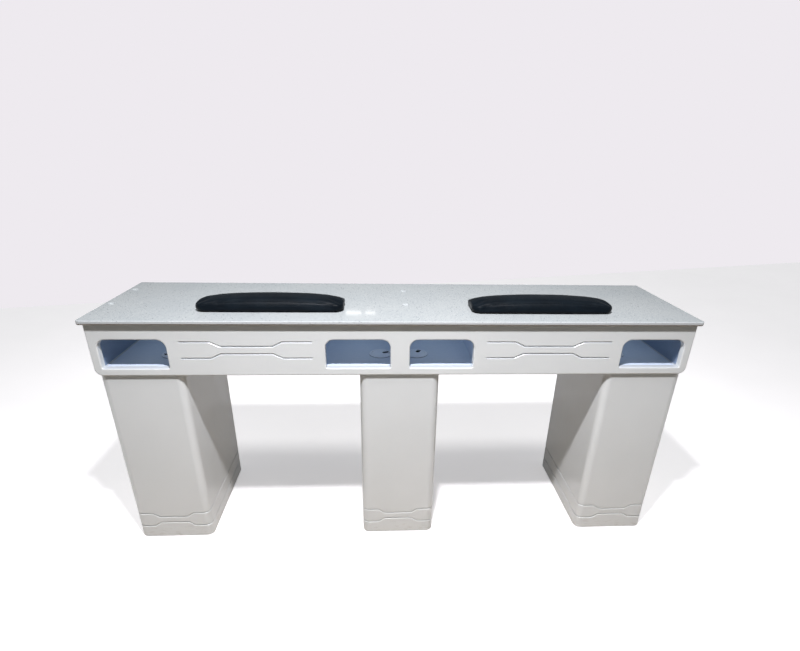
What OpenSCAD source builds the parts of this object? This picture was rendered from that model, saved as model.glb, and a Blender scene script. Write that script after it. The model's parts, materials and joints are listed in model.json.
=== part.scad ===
// Two-station manicure table: stone top, shallow cabinet with four cubbies and two
// drawers, three rounded pedestals and two loose armrests. Millimetres, +Z up.
// Origin: centre of the footprint, on the floor. -Y is the clients' side.

/* [Table] */
// Length of the stone top
table_l = 1800; // [1780:1:1840]
// Depth of the stone top
table_d = 450; // [440:1:480]
// Height of the stone top's upper face
table_h = 780; // [740:1:800]

/* [Stone top] */
// Thickness of the stone
top_t = 14; // [12:0.5:20]
// Bevel under the stone's edge
top_bevel = 6; // [3:0.5:9]
// Ease along the stone's upper edge
top_ease = 2; // [0.5:0.5:3]
// Radius of the stone's corners in plan
top_corner_r = 12; // [8:1:20]
// How far the stone stands past the cabinet on every side
overhang = 12.5; // [8:0.5:12.5]

/* [Cabinet] */
// Height of the cabinet between pedestals and stone
cab_h = 157; // [150:1:170]
// Thickness of the cabinet's boards
board = 18; // [16:1:18]
// Thickness of the front panel
front_t = 20; // [18:1:22]
// Radius of the cabinet's two long lower edges at the ends
cab_r = 22; // [22:1:30]
// Round-over on the front panel's edges
edge_r = 4; // [2:0.5:5]

/* [Front openings] */
// Width of an opening
open_w = 190.5; // [170:0.5:192]
// Height of an opening
open_h = 88; // [80:1:91]
// Height of an opening's sill above the cabinet floor
sill_step = 5; // [4:0.5:6]
// Radius of an opening's two upper corners
open_r = 26; // [10:1:35]
// Radius of its two lower corners
open_foot_r = 4; // [2:0.5:8]
// Distance of the two inner openings from the middle of the table
open_inner_x = 124; // [122:0.5:128]
// Distance of the two outer openings from the middle of the table
open_outer_x = 768; // [765:0.5:769]

/* [Grooves] */
// Width of a V groove at the surface
groove_w = 6; // [4:0.5:8]
// Half the length of the pattern on the front panel
motif_half = 189; // [170:1:195]
// Half the length of its pinched middle
motif_pinch = 75; // [50:1:90]
// Run of the slanted stretch between outer and pinched stretches
motif_ramp = 28; // [20:1:35]
// Half the spacing of the two grooves at the ends of the pattern
motif_wide = 25; // [22:0.5:30]
// Half the spacing of the two grooves in the pinched middle
motif_narrow = 11.5; // [8:0.5:16]

/* [Pedestals] */
// Width of a pedestal
ped_w = 243; // [220:1:244]
// Depth of a pedestal
ped_d = 417; // [405:1:417]
// Thickness of a pedestal's wall
ped_wall = 15; // [12:1:16]
// Radius of a pedestal's four upright edges
ped_r = 22; // [20:1:40]
// Distance of the outer pedestals from the middle of the table
ped_x = 762.5; // [750:0.5:765]
// Height of the floor glides under a pedestal
glide_h = 3; // [2:0.5:5]

/* [Cable grommets] */
// Outer radius of a grommet's flange
grommet_r = 37; // [34:0.5:38]
// Height of the flange above the cabinet floor
grommet_h = 3.5; // [3:0.5:5]
// Distance of a grommet from the axis of its pedestal
grommet_dx = 57; // [56:0.5:58]
// Distance of the grommets in front of the middle of the table
grommet_dy = 83; // [60:1:100]

/* [Drawers] */
// Distance of a drawer's middle from the middle of the table
drawer_x = 446; // [444:1:448]
// Clear width between the dividers beside a drawer
bay_w = 396; // [390:1:398]
// Length of a drawer behind its front board
drawer_l = 346; // [300:1:350]
// How far a drawer's face stands back in the back panel
drawer_inset = 15; // [12:1:18]

/* [Armrests] */
// Length of an armrest
arm_l = 440; // [400:1:450]
// Depth of an armrest
arm_d = 125; // [110:1:140]
// Height of an armrest at its middle
arm_h = 42; // [36:1:50]
// Height of an armrest at its ends
arm_end_h = 24; // [18:1:32]
// Middle of the left armrest along the table
arm_left_x = -385; // [-450:1:-300]
// Middle of the right armrest along the table
arm_right_x = 436; // [300:1:450]
// Front edge of the left armrest behind the stone's front edge
arm_left_setback = 81; // [60:1:120]
// Front edge of the right armrest behind the stone's front edge
arm_right_setback = 72; // [60:1:120]

/* [Hidden] */
$fn = 64;
over = 1;                                  // how far a cutter runs past what it cuts

// Cabinet
cab_l = table_l - 2 * overhang;
cab_d = table_d - 2 * overhang;
cab_z1 = table_h - top_t;
cab_z0 = cab_z1 - cab_h;
floor_z = cab_z0 + board;                  // upper face of the cabinet floor
front_y = -cab_d / 2;                      // outer face of the front panel
front_in = front_y + front_t;              // its inner face
back_y = cab_d / 2;                        // outer face of the back panel
back_in = back_y - board;                  // its inner face
rail_w = 60;                               // width of the flat rails under the stone
rail_z = cab_z1 - board;                   // lower face of the rails

// Openings and grooves
open_z0 = floor_z + sill_step;
opening_xs = [-open_outer_x, -open_inner_x, open_inner_x, open_outer_x];
motif_z = floor_z + 61.6;                  // middle line of the front pattern

// Dividers, by the distance of their middle from the middle of the table
div_inner_x = drawer_x - bay_w / 2 - board / 2;
div_outer_x = drawer_x + bay_w / 2 + board / 2;

// Pedestals
ped_z0 = glide_h;
ped_h = cab_z0 - ped_z0;
ped_y = back_y - ped_d / 2;                // backs of pedestals and cabinet are flush
ped_top_t = 18;                            // thickness of the top plate
ped_base_t = 15;                           // thickness of the base plate
ped_gap = 0.2;                             // gap round the plates inside the shell
foot_mid_z = 72;                           // middle line of the foot's pattern
foot_wide = 26;                            // half the spacing of its grooves
foot_narrow = 11.5;                        // the same in the pinched middle
foot_pinch = 46;                           // half the length of the pinched middle
foot_ramp = 21;                            // run of its slanted stretch
bolt_r = 4;
bolt_dx = 85;
bolt_dy = 165;
glide_dx = 80;
glide_dy = 170;
outlet_r = 22;                             // cable outlet: half its width
outlet_straight = 14;                      // height of its straight sides

// Grommets
grommet_hole_r = 30;
sleeve_r = 29.7;
grommet_bore_r = 26.5;
cap_seat_r = 28.8;
cap_r = 28.5;
notch_r = 6.5;
notch_from = 12;                           // start of the cap's cable notch, from its middle
grommet_xs = [-ped_x + grommet_dx, -grommet_dx, grommet_dx, ped_x - grommet_dx];
cap_turns = [205, 20, 63, 140];            // how far each cap is turned at rest

// Drawers
drawer_w = 370;
drawer_side_t = 12;
drawer_side_h = 85;
drawer_z0 = floor_z + 18;
drawer_front_t = 16;
drawer_face_y = back_y - drawer_inset;
drawer_front_in = drawer_face_y - drawer_front_t;
drawer_back_y = drawer_front_in - drawer_l;
bay_open_w = 393;
bay_open_z0 = floor_z + 6;
bay_open_z1 = rail_z - 4;
drawer_gap = 2;                            // gap round and behind a drawer's front board
runner_h = 35;
runner_t = 1.2;
runner_z = drawer_z0 + drawer_side_h / 2;
pull_half = 48;                            // half the spacing of the pull's posts
pull_out = 22;
pull_r = 4;

// Armrests
grip_h = 1.5;
arm_z0 = table_h + grip_h;                 // underside of base board and pad
arm_pad_h = arm_h - grip_h;
arm_base_h = 6;
arm_base_inset = 12;
arm_arc_r = (pow(arm_l / 2, 2) + pow(arm_h - arm_end_h, 2)) / (2 * (arm_h - arm_end_h));
arm_corner_r = 28;
arm_left_y = -table_d / 2 + arm_left_setback + arm_d / 2;
arm_right_y = -table_d / 2 + arm_right_setback + arm_d / 2;

// Cover caps on the stone: 22 mm in from the left edge of each station
cover_inset = 22;
cover_xs = [-table_l / 2 + cover_inset, cover_inset];
cover_ys = [-49, 121];
cover_r = 10.5;
cover_h = 3;
cover_peg_r = 5;
cover_peg_l = 9;

// ---- Shared shapes ----

// Rectangle with round corners, centred
module round_rect(w, d, r) {
    square([w, d - 2 * r], center = true);
    square([w - 2 * r, d], center = true);
    for (sx = [-1, 1], sy = [-1, 1])
        translate([sx * (w / 2 - r), sy * (d / 2 - r)])
            circle(r);
}

// Box between two corners
module box(low, high) {
    translate(low)
        cube(high - low);
}

// What a round-over of radius r takes off a square corner at the origin.
// x runs into the material along the face, y runs into its depth.
module round_over(r) {
    difference() {
        translate([-over, -over])
            square(r + over);
        translate([r, r])
            circle(r);
    }
}

// Turns a cutter swept about Z into one swept about Y, depth along +Y
module sweep_about_y() {
    mirror([0, 0, 1])
        rotate([-90, 0, 0])
            children();
}

// Section of a V groove: a diamond with its middle on the surface
module groove_section() {
    depth = groove_w / 2;
    polygon([[-depth, 0], [0, -depth], [depth, 0], [0, depth]]);
}

function unit(v) = v / norm(v);

// Direction across a groove where its run turns from u to v, long enough to keep its width
function mitre(u, v) = let (t = unit(unit(u) + unit(v))) [-t[1], t[0]] / (t * unit(u));

// Closed bar of diamond section along knots [x, z] of a face square to Y. mitres gives
// the direction across the bar at each knot.
module groove(knots, mitres) {
    depth = groove_w / 2;
    ends = len(knots) - 1;
    section = [[1, 0], [0, 1], [-1, 0], [0, -1]];
    corners = [
        for (i = [0 : ends], c = section)
            [knots[i][0] + depth * c[0] * mitres[i][0], depth * c[1],
                knots[i][1] + depth * c[0] * mitres[i][1]]
    ];
    near = [for (i = [0 : ends - 1], j = [0 : 3]) [4 * i + j, 4 * i + (j + 1) % 4, 4 * i + 4 + (j + 1) % 4]];
    far = [for (i = [0 : ends - 1], j = [0 : 3]) [4 * i + j, 4 * i + 4 + (j + 1) % 4, 4 * i + 4 + j]];
    caps = [[3, 2, 1], [3, 1, 0], [4 * ends, 4 * ends + 1, 4 * ends + 2], [4 * ends, 4 * ends + 2, 4 * ends + 3]];
    polyhedron(corners, concat(near, far, caps));
}

// One pinched groove: level, slanted, level middle, slanted, level. side is +1 above
// the middle line and -1 below it.
module pinched_groove(half, pinch, ramp, wide, narrow, side) {
    knee = pinch + ramp;
    outer = side * wide;
    inner = side * narrow;
    level = [0, 1];
    falling = mitre([1, 0], [ramp, inner - outer]);
    rising = [-falling[0], falling[1]];
    groove(
        [[-half, outer], [-knee, outer], [-pinch, inner], [pinch, inner], [knee, outer], [half, outer]],
        [level, falling, falling, rising, rising, level]
    );
}

// ---- Stone top and its cover caps ----

// Section of the stone along one direction: eased above, bevelled below
module stone_section(length) {
    polygon([
        [-length / 2 + top_bevel, -top_t],
        [length / 2 - top_bevel, -top_t],
        [length / 2, -top_t + top_bevel],
        [length / 2, -top_ease],
        [length / 2 - top_ease, 0],
        [-length / 2 + top_ease, 0],
        [-length / 2, -top_ease],
        [-length / 2, -top_t + top_bevel]
    ]);
}

module stone_top() {
    color([0.80, 0.83, 0.84])
    difference() {
        intersection() {
            translate([0, table_d / 2, table_h])
                rotate([90, 0, 0])
                    linear_extrude(table_d)
                        stone_section(table_l);
            translate([-table_l / 2, 0, table_h])
                rotate([90, 0, 90])
                    linear_extrude(table_l)
                        stone_section(table_d);
            translate([0, 0, cab_z1])
                linear_extrude(top_t)
                    round_rect(table_l, table_d, top_corner_r);
        }
        for (x = cover_xs, y = cover_ys)
            translate([x, y, table_h - cover_peg_l - over])
                cylinder(r = cover_peg_r + 0.1, h = cover_peg_l + 2 * over);
    }
}

module top_cover_caps() {
    color([0.90, 0.91, 0.91])
    for (x = cover_xs, y = cover_ys)
        translate([x, y, table_h])
            rotate_extrude()
                polygon([
                    [0, -cover_peg_l], [cover_peg_r, -cover_peg_l], [cover_peg_r, 0], [cover_r, 0],
                    [cover_r, cover_h * 0.4], [cover_r * 0.86, cover_h * 0.82],
                    [cover_r * 0.55, cover_h], [0, cover_h]
                ]);
}

// ---- Cabinet ----

// Cabinet seen from the front, with its two round lower corners
module cabinet_outline() {
    translate([-cab_l / 2, cab_z0 + cab_r])
        square([cab_l, cab_h - cab_r]);
    translate([-cab_l / 2 + cab_r, cab_z0])
        square([cab_l - 2 * cab_r, cab_r]);
    for (side = [-1, 1])
        translate([side * (cab_l / 2 - cab_r), cab_z0 + cab_r])
            circle(cab_r);
}

// Opening seen from the front: nearly square at the sill, round above
module opening_outline() {
    translate([-open_w / 2, open_foot_r])
        square([open_w, open_h - open_r - open_foot_r]);
    translate([-open_w / 2 + open_foot_r, 0])
        square([open_w - 2 * open_foot_r, open_foot_r + over]);
    translate([-open_w / 2 + open_r, open_foot_r])
        square([open_w - 2 * open_r, open_h - open_foot_r]);
    for (side = [-1, 1]) {
        translate([side * (open_w / 2 - open_r), open_h - open_r])
            circle(open_r);
        translate([side * (open_w / 2 - open_foot_r), open_foot_r])
            circle(open_foot_r);
    }
}

// Round-over round a quarter circle of radius r, from +X towards +Z
module round_over_corner(r) {
    sweep_about_y()
        rotate_extrude(angle = 90)
            translate([r, 0])
                round_over(edge_r);
}

// Round-over all round an opening, for an opening whose sill is at the origin
module opening_lip() {
    straight = open_h - open_r;
    translate([-open_w / 2 + open_foot_r, 0, 0])
        rotate([0, 90, 0])
            linear_extrude(open_w - 2 * open_foot_r)
                round_over(edge_r);
    translate([open_w / 2 - open_r, 0, open_h])
        rotate([0, -90, 0])
            linear_extrude(open_w - 2 * open_r)
                round_over(edge_r);
    for (side = [0, 1])
        mirror([side, 0, 0]) {
            translate([open_w / 2, 0, open_foot_r])
                linear_extrude(straight - open_foot_r)
                    round_over(edge_r);
            translate([open_w / 2 - open_r, 0, straight])
                round_over_corner(open_r);
            translate([open_w / 2 - open_foot_r, 0, open_foot_r])
                mirror([0, 0, 1])
                    round_over_corner(open_foot_r);
        }
}

// Round-over along the cabinet's lower and upright edges, on the face at y = 0
module cabinet_edge_lip() {
    translate([-cab_l / 2 + cab_r, 0, cab_z0])
        mirror([0, 0, 1])
            rotate([0, 90, 0])
                linear_extrude(cab_l - 2 * cab_r)
                    round_over(edge_r);
    for (side = [0, 1])
        mirror([side, 0, 0]) {
            translate([cab_l / 2, 0, cab_z0 + cab_r])
                mirror([1, 0, 0])
                    linear_extrude(cab_h)
                        round_over(edge_r);
            translate([cab_l / 2 - cab_r, 0, cab_z0 + cab_r])
                mirror([0, 0, 1])
                    sweep_about_y()
                        rotate_extrude(angle = 90)
                            translate([cab_r, 0])
                                mirror([1, 0])
                                    round_over(edge_r);
        }
}

module front_panel() {
    color([0.88, 0.89, 0.88])
    difference() {
        translate([0, front_in, 0])
            rotate([90, 0, 0])
                linear_extrude(front_t)
                    cabinet_outline();
        for (x = opening_xs) {
            translate([x, front_in + over, open_z0])
                rotate([90, 0, 0])
                    linear_extrude(front_t + 2 * over)
                        opening_outline();
            translate([x, front_y, open_z0])
                opening_lip();
        }
        translate([0, front_y, 0])
            cabinet_edge_lip();
        for (x = [-drawer_x, drawer_x], side = [-1, 1])
            translate([x, front_y, motif_z])
                pinched_groove(motif_half, motif_pinch, motif_ramp, motif_wide, motif_narrow, side);
    }
}

module back_panel() {
    color([0.88, 0.89, 0.88])
    difference() {
        translate([0, back_y, 0])
            rotate([90, 0, 0])
                linear_extrude(board)
                    cabinet_outline();
        mirror([0, 1, 0])
            translate([0, -back_y, 0])
                cabinet_edge_lip();
        for (x = [-drawer_x, drawer_x])
            box([x - bay_open_w / 2, back_in - over, bay_open_z0],
                [x + bay_open_w / 2, back_y + over, bay_open_z1]);
    }
}

// Upright board at the right end, with its bent lower edge
module end_panel() {
    color([0.88, 0.89, 0.88])
    translate([0, back_in, 0])
        rotate([90, 0, 0])
            linear_extrude(back_in - front_in) {
                translate([cab_l / 2 - board, cab_z0 + cab_r])
                    square([board, cab_h - cab_r]);
                translate([cab_l / 2 - cab_r, cab_z0 + cab_r])
                    difference() {
                        circle(cab_r);
                        circle(cab_r - board);
                        translate([-2 * cab_r, -2 * cab_r])
                            square([2 * cab_r, 4 * cab_r]);
                        translate([-cab_r, 0])
                            square([3 * cab_r, 2 * cab_r]);
                    }
            }
}

module cabinet_floor() {
    color([0.62, 0.68, 0.76])
    difference() {
        box([-cab_l / 2 + cab_r, front_in, cab_z0], [cab_l / 2 - cab_r, back_in, floor_z]);
        for (x = grommet_xs)
            translate([x, -grommet_dy, cab_z0 - over])
                cylinder(r = grommet_hole_r, h = board + 2 * over);
        for (x = [-ped_x, 0, ped_x])
            bolt_places(x)
                translate([0, 0, cab_z0 - over])
                    cylinder(r = bolt_r + 0.05, h = 14 + over);
    }
}

// Upright divider, notched for the two rails
module divider(x) {
    color([0.62, 0.68, 0.76])
    translate([x - board / 2, 0, 0])
        rotate([90, 0, 90])
            linear_extrude(board)
                polygon([
                    [front_in, floor_z], [back_in, floor_z], [back_in, rail_z],
                    [back_in - rail_w, rail_z], [back_in - rail_w, cab_z1],
                    [front_in + rail_w, cab_z1], [front_in + rail_w, rail_z], [front_in, rail_z]
                ]);
}

module top_rail(y0) {
    color([0.78, 0.70, 0.56])
    box([-cab_l / 2 + board, y0, rail_z], [cab_l / 2 - board, y0 + rail_w, cab_z1]);
}

// Steel angles that tie the rails to the dividers
module rail_brackets() {
    leg = 30;
    width = 16;
    thick = 2;
    color([0.72, 0.73, 0.75])
    for (x = [-div_outer_x, -div_inner_x, 0, div_inner_x, div_outer_x])
        for (y = [front_in + rail_w / 2, back_in - rail_w / 2])
            translate([x - board / 2, y, rail_z])
                difference() {
                    box([-leg, -width / 2, -leg], [0, width / 2, 0]);
                    box([-leg - over, -width / 2 - over, -leg - over],
                        [-thick, width / 2 + over, -thick]);
                }
}

// ---- Cable grommets ----

module grommet_ring(i) {
    color([0.60, 0.64, 0.70])
    translate([grommet_xs[i], -grommet_dy, floor_z])
        rotate_extrude()
            polygon([
                [grommet_bore_r, -board + 3], [sleeve_r, -board + 3], [sleeve_r, 0], [grommet_r, 0],
                [grommet_r, grommet_h * 0.45], [grommet_r - 1.8, grommet_h],
                [cap_seat_r, grommet_h], [cap_seat_r, 1], [grommet_bore_r, 1]
            ]);
}

module grommet_cap(i) {
    color([0.60, 0.64, 0.70])
    translate([grommet_xs[i], -grommet_dy, floor_z])
        rotate([0, 0, cap_turns[i]])
            difference() {
                rotate_extrude()
                    polygon([
                        [0, 1.1], [cap_r, 1.1], [cap_r, grommet_h - 0.3],
                        [cap_r - 0.6, grommet_h + 0.3], [0, grommet_h + 0.3]
                    ]);
                translate([notch_from, 0, 0])
                    cylinder(r = notch_r, h = 3 * grommet_h);
                box([notch_from, -notch_r, 0], [cap_r + over, notch_r, 3 * grommet_h]);
            }
}

// ---- Pedestals ----

// Puts its children at the four bolts of the pedestal at x
module bolt_places(x) {
    for (sx = [-1, 1], sy = [-1, 1])
        translate([x + sx * bolt_dx, ped_y + sy * bolt_dy, 0])
            children();
}

// Cable outlet at the foot of a pedestal's back wall: arched, through to the inside
module outlet_cut(x) {
    reach = 60;
    translate([x, back_y + over, 0])
        rotate([90, 0, 0])
            linear_extrude(reach) {
                translate([-outlet_r, -over])
                    square([2 * outlet_r, outlet_straight + over]);
                translate([0, outlet_straight])
                    circle(outlet_r);
            }
}

// Groove round a pedestal's sides, back and corners at height z
module foot_groove_sides(z) {
    half_w = ped_w / 2;
    half_d = ped_d / 2;
    for (side = [-1, 1])
        translate([side * half_w, half_d - ped_r, z])
            rotate([90, 0, 0])
                linear_extrude(ped_d - 2 * ped_r)
                    groove_section();
    translate([ped_r - half_w, half_d, z])
        rotate([90, 0, 90])
            linear_extrude(ped_w - 2 * ped_r)
                groove_section();
    for (sx = [0, 1], sy = [0, 1])
        mirror([sx, 0, 0])
            mirror([0, sy, 0])
                translate([half_w - ped_r, half_d - ped_r, z])
                    rotate_extrude(angle = 90)
                        translate([ped_r, 0])
                            groove_section();
}

module pedestal_shell(x) {
    color([0.88, 0.89, 0.88])
    difference() {
        translate([x, ped_y, ped_z0])
            linear_extrude(ped_h)
                difference() {
                    round_rect(ped_w, ped_d, ped_r);
                    round_rect(ped_w - 2 * ped_wall, ped_d - 2 * ped_wall, ped_r - ped_wall);
                }
        outlet_cut(x);
        for (side = [-1, 1]) {
            translate([x, ped_y, 0])
                foot_groove_sides(foot_mid_z + side * foot_wide);
            translate([x, ped_y - ped_d / 2, foot_mid_z])
                pinched_groove(ped_w / 2 - ped_r, foot_pinch, foot_ramp, foot_wide, foot_narrow, side);
        }
    }
}

// Outline of a plate inside a pedestal
module ped_plate_outline() {
    wall = ped_wall + ped_gap;
    round_rect(ped_w - 2 * wall, ped_d - 2 * wall, ped_r - wall);
}

module pedestal_top_plate(x, cable_xs) {
    color([0.78, 0.70, 0.56])
    difference() {
        translate([x, ped_y, cab_z0 - ped_top_t])
            linear_extrude(ped_top_t)
                ped_plate_outline();
        for (cx = cable_xs)
            translate([cx, -grommet_dy, cab_z0 - ped_top_t - over])
                cylinder(r = grommet_hole_r + 1, h = ped_top_t + 2 * over);
        bolt_places(x)
            translate([0, 0, cab_z0 - ped_top_t - over])
                cylinder(r = bolt_r + 0.3, h = ped_top_t + 2 * over);
    }
}

module pedestal_base_plate(x) {
    rim = 42;
    color([0.78, 0.70, 0.56])
    difference() {
        translate([x, ped_y, ped_z0])
            linear_extrude(ped_base_t)
                difference() {
                    ped_plate_outline();
                    round_rect(ped_w - 2 * ped_wall - 2 * rim, ped_d - 2 * ped_wall - 2 * rim, 20);
                }
        outlet_cut(x);
        for (sx = [-1, 1], sy = [-1, 1])
            translate([x + sx * glide_dx, ped_y + sy * glide_dy, 0])
                cylinder(r = 3.05, h = 14);
    }
}

module pedestal_glides(x) {
    color([0.20, 0.20, 0.21])
    for (sx = [-1, 1], sy = [-1, 1])
        translate([x + sx * glide_dx, ped_y + sy * glide_dy, 0])
            rotate_extrude()
                polygon([
                    [0, 0], [13, 0], [14, 1], [14, glide_h], [3, glide_h], [3, 12], [0, 13]
                ]);
}

module pedestal_bolts() {
    head_h = 5.3;
    color([0.72, 0.73, 0.75])
    for (x = [-ped_x, 0, ped_x])
        bolt_places(x)
            translate([0, 0, cab_z0 - ped_top_t]) {
                translate([0, 0, -head_h])
                    cylinder(r = 7.5, h = head_h, $fn = 6);
                cylinder(r = bolt_r, h = ped_top_t + 12);
            }
}

// ---- Drawers ----

module drawer_front(x) {
    color([0.88, 0.89, 0.88])
    difference() {
        box([x - bay_open_w / 2 + drawer_gap, drawer_front_in, bay_open_z0 + drawer_gap],
            [x + bay_open_w / 2 - drawer_gap, drawer_face_y, bay_open_z1 - drawer_gap]);
        pull_posts(x)
            translate([0, 0, -over])
                cylinder(r = 2.05, h = drawer_front_t + 2 * over, $fn = 32);
    }
}

module drawer_sides(x) {
    color([0.90, 0.90, 0.89])
    for (side = [-1, 1])
        translate([x + side * (drawer_w - drawer_side_t) / 2, 0, 0])
            box([-drawer_side_t / 2, drawer_back_y, drawer_z0],
                [drawer_side_t / 2, drawer_front_in, drawer_z0 + drawer_side_h]);
}

module drawer_back(x) {
    half = drawer_w / 2 - drawer_side_t;
    color([0.90, 0.90, 0.89])
    box([x - half, drawer_back_y, drawer_z0],
        [x + half, drawer_back_y + drawer_side_t, drawer_z0 + drawer_side_h]);
}

module drawer_bottom(x) {
    half = drawer_w / 2 - drawer_side_t;
    color([0.86, 0.87, 0.87])
    box([x - half, drawer_back_y + drawer_side_t, drawer_z0 + 3],
        [x + half, drawer_front_in, drawer_z0 + 9]);
}

// Puts its children at the pull's two posts on the front's inner face, +Z outwards
module pull_posts(x) {
    for (side = [-1, 1])
        translate([x + side * pull_half, drawer_front_in, (bay_open_z0 + bay_open_z1) / 2])
            rotate([-90, 0, 0])
                children();
}

module drawer_pull(x) {
    bar_l = 2 * pull_half + 32;
    color([0.78, 0.79, 0.80])
    difference() {
        union() {
            pull_posts(x)
                translate([0, 0, drawer_front_t])
                    cylinder(r = pull_r, h = pull_out - pull_r);
            translate([x - bar_l / 2, drawer_face_y + pull_out - pull_r, (bay_open_z0 + bay_open_z1) / 2])
                rotate([0, 90, 0])
                    cylinder(r = pull_r, h = bar_l);
        }
        pull_posts(x)
            translate([0, 0, drawer_front_t - over])
                cylinder(r = 2.05, h = 10 + over, $fn = 32);
    }
}

module drawer_pull_screws(x) {
    color([0.72, 0.73, 0.75])
    pull_posts(x)
        rotate_extrude()
            polygon([
                [0, -2], [3, -2], [4, -1], [4, 0], [2, 0], [2, drawer_front_t + 9],
                [0, drawer_front_t + 9]
            ]);
}

// Channel section of height h and reach w whose web stands at x = 0
module channel(w, h) {
    difference() {
        translate([0, -h / 2])
            square([w, h]);
        translate([runner_t, -h / 2 + runner_t])
            square([w, h - 2 * runner_t]);
    }
}

// Moving members, screwed to the drawer's sides
module drawer_runners(x) {
    color([0.72, 0.73, 0.75])
    for (side = [0, 1])
        translate([x, drawer_front_in, runner_z])
            mirror([side, 0, 0])
                translate([drawer_w / 2, 0, 0])
                    rotate([90, 0, 0])
                        linear_extrude(drawer_l)
                            channel(9.2, 27);
}

// Fixed members, screwed to the dividers
module cabinet_runners(x) {
    color([0.72, 0.73, 0.75])
    for (side = [0, 1])
        translate([x, drawer_front_in - drawer_gap, runner_z])
            mirror([side, 0, 0])
                translate([bay_w / 2, 0, 0])
                    rotate([90, 0, 0])
                        linear_extrude(drawer_l)
                            mirror([1, 0])
                                channel(10.5, runner_h);
}

// ---- Armrests ----

// Cushion: flat below, arched along its length, crowned across its depth
module armrest_pad(x, y) {
    crown_r = 190;
    color([0.07, 0.07, 0.08])
    translate([x, y, arm_z0])
        difference() {
            intersection() {
                linear_extrude(arm_pad_h)
                    round_rect(arm_l, arm_d, arm_corner_r);
                translate([0, arm_d, arm_pad_h - arm_arc_r])
                    rotate([90, 0, 0])
                        cylinder(r = arm_arc_r, h = 2 * arm_d, $fn = 180);
                translate([-arm_l, -10, arm_pad_h - crown_r])
                    rotate([0, 90, 0])
                        cylinder(r = crown_r, h = 2 * arm_l, $fn = 180);
            }
            armrest_base_solid(arm_base_h + 0.2, arm_base_inset - 0.2, -over);
        }
}

module armrest_base_solid(top, inset, bottom) {
    translate([0, 0, bottom])
        linear_extrude(top - bottom)
            round_rect(arm_l - 2 * inset, arm_d - 2 * inset, arm_corner_r - inset);
}

module armrest_base(x, y) {
    color([0.12, 0.12, 0.13])
    translate([x, y, arm_z0])
        armrest_base_solid(arm_base_h, arm_base_inset, 0);
}

module armrest_grips(x, y) {
    color([0.16, 0.16, 0.17])
    for (sx = [-1, 1], sy = [-1, 1])
        translate([x + sx * (arm_l / 2 - 40), y + sy * (arm_d / 2 - 30), table_h])
            cylinder(r = 12, h = grip_h);
}

// ---- Assembly ----

stone_top();
top_cover_caps();
front_panel();
back_panel();
mirror([1, 0, 0]) end_panel();  // left_end_panel
end_panel();  // right_end_panel
cabinet_floor();
divider(-div_outer_x);  // left_outer_divider
divider(-div_inner_x);  // left_inner_divider
divider(0);  // centre_divider
divider(div_inner_x);  // right_inner_divider
divider(div_outer_x);  // right_outer_divider
top_rail(front_in);  // front_top_rail
top_rail(back_in - rail_w);  // back_top_rail
rail_brackets();
grommet_ring(0);  // left_outer_grommet_ring
grommet_ring(1);  // left_inner_grommet_ring
grommet_ring(2);  // right_inner_grommet_ring
grommet_ring(3);  // right_outer_grommet_ring
grommet_cap(0);  // left_outer_grommet_cap
grommet_cap(1);  // left_inner_grommet_cap
grommet_cap(2);  // right_inner_grommet_cap
grommet_cap(3);  // right_outer_grommet_cap
pedestal_shell(-ped_x);  // left_pedestal_shell
pedestal_shell(0);  // centre_pedestal_shell
pedestal_shell(ped_x);  // right_pedestal_shell
pedestal_top_plate(-ped_x, [grommet_xs[0]]);  // left_pedestal_top_plate
pedestal_top_plate(0, [grommet_xs[1], grommet_xs[2]]);  // centre_pedestal_top_plate
pedestal_top_plate(ped_x, [grommet_xs[3]]);  // right_pedestal_top_plate
pedestal_base_plate(-ped_x);  // left_pedestal_base_plate
pedestal_base_plate(0);  // centre_pedestal_base_plate
pedestal_base_plate(ped_x);  // right_pedestal_base_plate
pedestal_glides(-ped_x);  // left_pedestal_glides
pedestal_glides(0);  // centre_pedestal_glides
pedestal_glides(ped_x);  // right_pedestal_glides
pedestal_bolts();
drawer_front(-drawer_x);  // left_drawer_front
drawer_sides(-drawer_x);  // left_drawer_sides
drawer_back(-drawer_x);  // left_drawer_back
drawer_bottom(-drawer_x);  // left_drawer_bottom
drawer_pull(-drawer_x);  // left_drawer_pull
drawer_pull_screws(-drawer_x);  // left_drawer_pull_screws
drawer_runners(-drawer_x);  // left_drawer_runners
cabinet_runners(-drawer_x);  // left_cabinet_runners
drawer_front(drawer_x);  // right_drawer_front
drawer_sides(drawer_x);  // right_drawer_sides
drawer_back(drawer_x);  // right_drawer_back
drawer_bottom(drawer_x);  // right_drawer_bottom
drawer_pull(drawer_x);  // right_drawer_pull
drawer_pull_screws(drawer_x);  // right_drawer_pull_screws
drawer_runners(drawer_x);  // right_drawer_runners
cabinet_runners(drawer_x);  // right_cabinet_runners
armrest_pad(arm_left_x, arm_left_y);  // left_armrest_pad
armrest_base(arm_left_x, arm_left_y);  // left_armrest_base
armrest_grips(arm_left_x, arm_left_y);  // left_armrest_grips
armrest_pad(arm_right_x, arm_right_y);  // right_armrest_pad
armrest_base(arm_right_x, arm_right_y);  // right_armrest_base
armrest_grips(arm_right_x, arm_right_y);  // right_armrest_grips
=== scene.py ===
import json
import math

import bmesh
import bpy
from mathutils import Matrix, Vector, noise
from mathutils.bvhtree import BVHTree


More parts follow.
